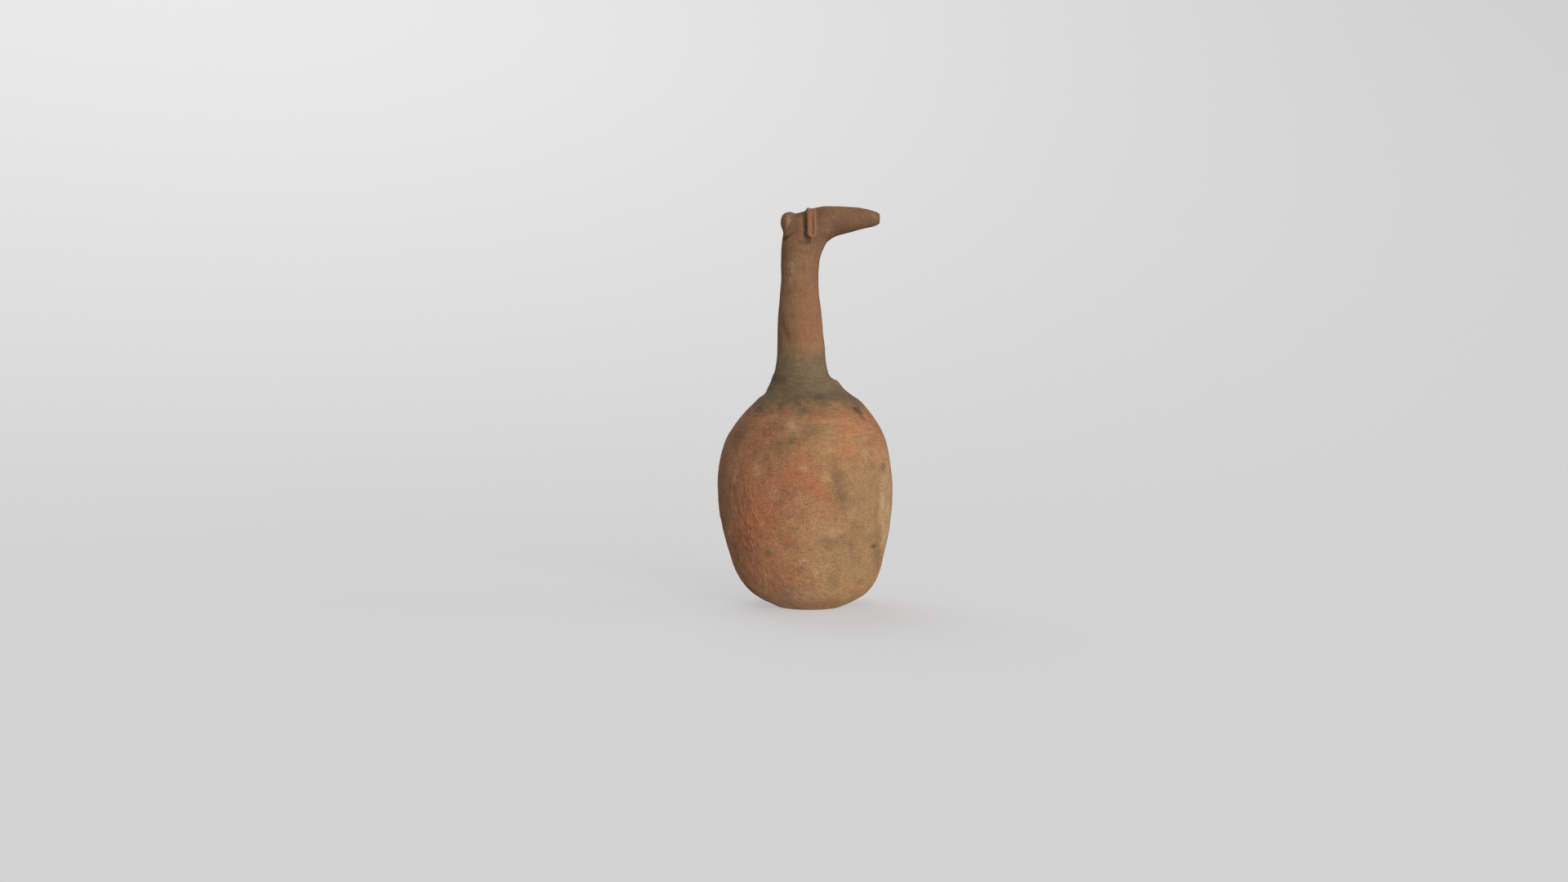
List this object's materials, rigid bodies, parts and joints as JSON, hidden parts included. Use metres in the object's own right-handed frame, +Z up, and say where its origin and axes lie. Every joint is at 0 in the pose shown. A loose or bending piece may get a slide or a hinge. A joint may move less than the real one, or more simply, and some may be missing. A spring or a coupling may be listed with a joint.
{
  "type": "clay ritual vase",
  "caption": "Hollow hand-built earthenware vase: round-bottomed ovoid body, long neck and an animal's head whose snout is the spout; stands on a small flat under the body.",
  "frame": {"origin": "on the floor under the middle of the body, at the middle of the whole vase's box", "axes": "+Z up along the neck, +X the way the snout points, +Y to the head's left"},
  "size_m": [0.1443, 0.1422, 0.3301],
  "materials": {
    "fired_clay": "matte"
  },
  "bodies": {
    "root": {"clay_vase": "fired_clay"}
  },
  "joints": []
}
